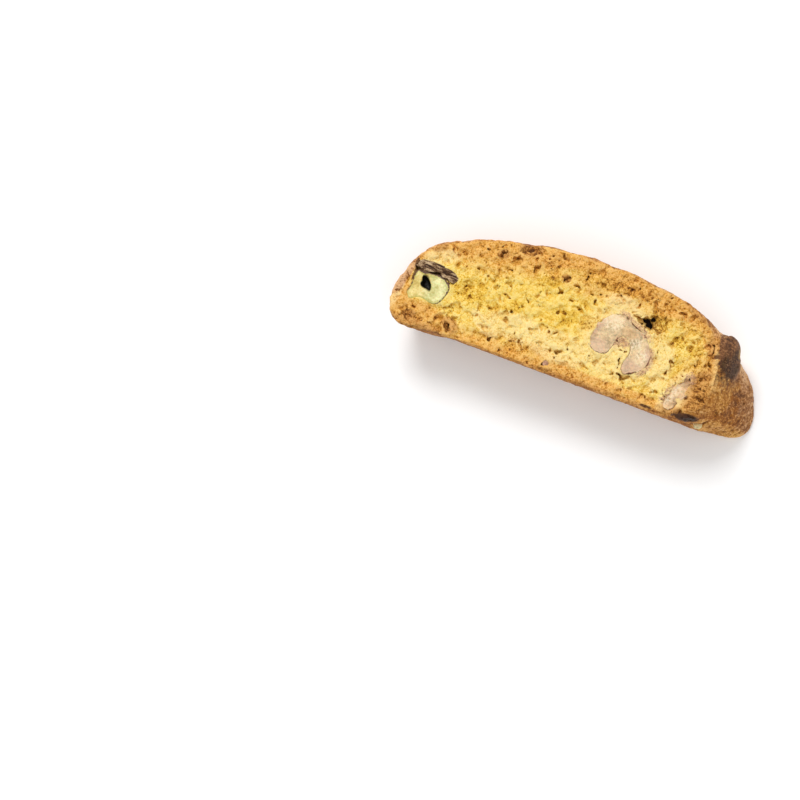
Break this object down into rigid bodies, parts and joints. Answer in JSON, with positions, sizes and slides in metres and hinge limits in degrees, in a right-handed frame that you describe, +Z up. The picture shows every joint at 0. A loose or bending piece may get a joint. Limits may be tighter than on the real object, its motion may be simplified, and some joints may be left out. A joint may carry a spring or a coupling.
{
  "type": "biscotti slice",
  "caption": "Bias-cut slice of a half-round nut biscotti, porous cut faces, browned crust, cut pistachio and walnut flush with the face, a whole nut bulging from the crusted end",
  "frame": {"origin": "on the table, under the middle of the slice's bounding box", "axes": "+X along the slice from its thin-skinned end to its crusted end, +Y from the flat base of the log to its dome, +Z up out of the upper cut face; the slice lies on its lower cut face"},
  "size_m": [0.0738, 0.0248, 0.0144],
  "materials": {
    "baked_crumb": "dry, open baked crumb with a browned crust",
    "pistachio_flesh": "satin cut nut, pale yellow green",
    "dark_skin": "wrinkled dry nut skin, purple brown",
    "walnut_flesh": "satin cut nut, beige",
    "pale_nut": "broken nut, pale pinkish beige",
    "roasted_nut": "wrinkled roasted nut skin, dark brown"
  },
  "bodies": {
    "root": {"biscotti_slice": "baked_crumb", "pistachio_kernel": "pistachio_flesh", "pistachio_skin": "dark_skin", "walnut_piece": "walnut_flesh", "walnut_sliver": "pale_nut", "walnut_crumb": "pale_nut", "end_nut": "roasted_nut", "skin_flake": "dark_skin", "pistachio_bit": "pistachio_flesh"}
  },
  "joints": []
}
